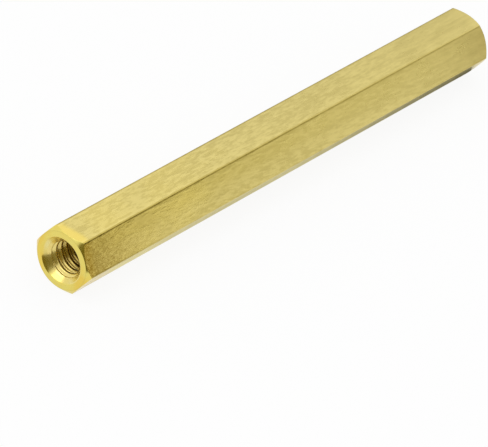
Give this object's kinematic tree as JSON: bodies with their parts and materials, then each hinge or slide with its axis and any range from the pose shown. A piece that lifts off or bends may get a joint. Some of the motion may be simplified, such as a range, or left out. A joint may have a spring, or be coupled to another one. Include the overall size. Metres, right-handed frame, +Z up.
{
  "type": "hex standoff",
  "caption": "Solid brass hexagonal spacer bar with a countersunk, internally threaded blind hole in each end and turned end chamfers.",
  "frame": {"origin": "middle of the flat that the bar lies on, halfway along its length", "axes": "+X along the bar and the axis of both threaded holes, +Z up out of the top flat, +Y towards a corner between two flats"},
  "size_m": [0.0636, 0.0072, 0.0063],
  "materials": {
    "brass": "plain drawn brass with fine lengthwise drawing lines, bright turned ends"
  },
  "bodies": {
    "root": {"standoff_body": "brass"}
  },
  "joints": []
}
